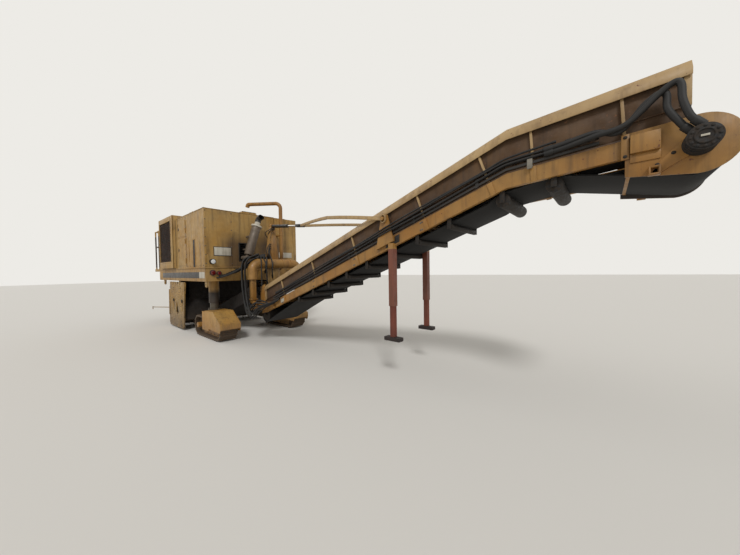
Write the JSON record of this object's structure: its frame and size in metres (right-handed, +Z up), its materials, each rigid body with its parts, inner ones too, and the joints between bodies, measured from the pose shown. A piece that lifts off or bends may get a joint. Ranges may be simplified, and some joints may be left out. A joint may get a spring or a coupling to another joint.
{
  "type": "cold planer milling machine",
  "caption": "Tracked front-loading cold planer: body on steerable crawler legs, cutter drum between floating side plates, slewing and lifting discharge conveyor.",
  "frame": {"origin": "centre of the bounding box at ground level", "axes": "+X forward to the conveyor head, +Y left, +Z up"},
  "size_m": [14.9389, 3.5542, 4.1105],
  "materials": {
    "paint_yellow": "satin",
    "paint_dark": "satin",
    "rust_red": "matte",
    "bare_steel": "satin",
    "cast_iron": "matte",
    "belt_rubber": "matte",
    "red_lens": "gloss",
    "dull_grey": "matte"
  },
  "bodies": {
    "chassis": {"main_frame": "paint_yellow", "lift_legs": "bare_steel", "enclosure": "paint_yellow", "engine_block": "cast_iron", "radiator_housing": "paint_yellow", "radiator_grilles": "paint_dark", "fuel_tank": "paint_yellow", "rear_platform": "paint_yellow", "control_console": "paint_dark", "muffler": "dull_grey", "gooseneck_pipe": "paint_yellow", "lamps": "red_lens", "tie_down_lugs": "paint_yellow", "drum_housing": "paint_yellow", "pickup_conveyor": "paint_yellow", "pickup_belt": "belt_rubber"},
    "front_left_track": {"front_left_track_frame": "paint_yellow", "front_left_track_chain": "cast_iron", "front_left_track_wheels": "bare_steel"},
    "front_right_track": {"front_right_track_frame": "paint_yellow", "front_right_track_chain": "cast_iron", "front_right_track_wheels": "bare_steel"},
    "rear_left_track": {"rear_left_track_frame": "paint_yellow", "rear_left_track_chain": "cast_iron", "rear_left_track_wheels": "bare_steel"},
    "rear_right_track": {"rear_right_track_frame": "paint_yellow", "rear_right_track_chain": "cast_iron", "rear_right_track_wheels": "bare_steel"},
    "drum": {"cutter_drum": "cast_iron"},
    "left_plate": {"left_side_plate": "paint_yellow"},
    "right_plate": {"right_side_plate": "paint_yellow"},
    "rear_moldboard": {"moldboard": "paint_yellow"},
    "left_door_leaf": {"left_door": "paint_yellow"},
    "right_upper_leaf": {"right_upper_door": "paint_yellow"},
    "right_lower_leaf": {"right_lower_door": "paint_yellow"},
    "slew_gantry": {"gantry": "paint_yellow"},
    "conveyor": {"conveyor_rails": "paint_yellow", "conveyor_skirts": "paint_dark", "conveyor_tubes": "paint_dark", "conveyor_belt": "belt_rubber", "conveyor_idlers": "bare_steel", "conveyor_head": "paint_yellow"},
    "left_stand_leg": {"left_stand": "rust_red"},
    "right_stand_leg": {"right_stand": "rust_red"},
    "cylinder_barrel": {"lift_barrel": "paint_dark"},
    "cylinder_rod": {"lift_rod": "paint_yellow"}
  },
  "joints": [
    {"name": "front_left_steer", "type": "hinge", "parent": "chassis", "child": "front_left_track", "pos_m": [-2.035, 1.113, 0.8], "axis": [0, 0, 1], "range_deg": [-15, 15]},
    {"name": "front_right_steer", "type": "hinge", "parent": "chassis", "child": "front_right_track", "pos_m": [-2.035, -1.113, 0.8], "axis": [0, 0, 1], "range_deg": [-15, 15]},
    {"name": "rear_left_steer", "type": "hinge", "parent": "chassis", "child": "rear_left_track", "pos_m": [-6.485, 0.67, 0.8], "axis": [0, 0, 1], "range_deg": [-12, 12]},
    {"name": "rear_right_steer", "type": "hinge", "parent": "chassis", "child": "rear_right_track", "pos_m": [-6.485, -0.67, 0.8], "axis": [0, 0, 1], "range_deg": [-12, 12]},
    {"name": "drum_spin", "type": "hinge", "parent": "chassis", "child": "drum", "pos_m": [-4.335, 0, 0.58], "axis": [0, 1, 0], "continuous": true},
    {"name": "left_plate_float", "type": "slide", "parent": "chassis", "child": "left_plate", "axis": [0, 0, 1], "range_m": [0, 0.3]},
    {"name": "right_plate_float", "type": "slide", "parent": "chassis", "child": "right_plate", "axis": [0, 0, 1], "range_m": [0, 0.3]},
    {"name": "moldboard_float", "type": "slide", "parent": "chassis", "child": "rear_moldboard", "axis": [0, 0, 1], "range_m": [0, 0.3]},
    {"name": "left_door_hinge", "type": "hinge", "parent": "chassis", "child": "left_door_leaf", "pos_m": [-3.157, 1.476, 2.8], "axis": [0, 0, -1], "range_deg": [0, 110]},
    {"name": "right_upper_door_hinge", "type": "hinge", "parent": "chassis", "child": "right_upper_leaf", "pos_m": [-3.157, -1.476, 3.3], "axis": [0, 0, 1], "range_deg": [0, 110]},
    {"name": "right_lower_door_hinge", "type": "hinge", "parent": "chassis", "child": "right_lower_leaf", "pos_m": [-3.157, -1.476, 2.5], "axis": [0, 0, 1], "range_deg": [0, 110]},
    {"name": "conveyor_slew", "type": "hinge", "parent": "chassis", "child": "slew_gantry", "pos_m": [-0.705, 0, 1.9], "axis": [0, 0, 1], "range_deg": [-25, 25]},
    {"name": "conveyor_lift", "type": "hinge", "parent": "slew_gantry", "child": "conveyor", "pos_m": [-0.535, 0, 0.95], "axis": [0, -1, 0], "range_deg": [-8, 6]},
    {"name": "barrel_pitch", "type": "hinge", "parent": "slew_gantry", "child": "cylinder_barrel", "pos_m": [-0.705, 0, 3.17], "axis": [0, -1, 0], "range_deg": [-8.5, 6.5]},
    {"name": "rod_stroke", "type": "slide", "parent": "cylinder_barrel", "child": "cylinder_rod", "axis": [0.9947, 0, -0.1032], "range_m": [-0.2394, 0.3159]},
    {"name": "left_stand_slide", "type": "slide", "parent": "conveyor", "child": "left_stand_leg", "axis": [0, 0, 1], "range_m": [0, 0.5]},
    {"name": "right_stand_slide", "type": "slide", "parent": "conveyor", "child": "right_stand_leg", "axis": [0, 0, 1], "range_m": [0, 0.5]}
  ],
  "couplings": [
    {"joint": "front_right_steer", "follows": "front_left_steer", "ratio": 1},
    {"joint": "rear_right_steer", "follows": "rear_left_steer", "ratio": 1},
    {"joint": "barrel_pitch", "follows": "conveyor_lift", "ratio": 0.91257},
    {"joint": "rod_stroke", "follows": "conveyor_lift", "m_per_rad": -2.1906}
  ]
}
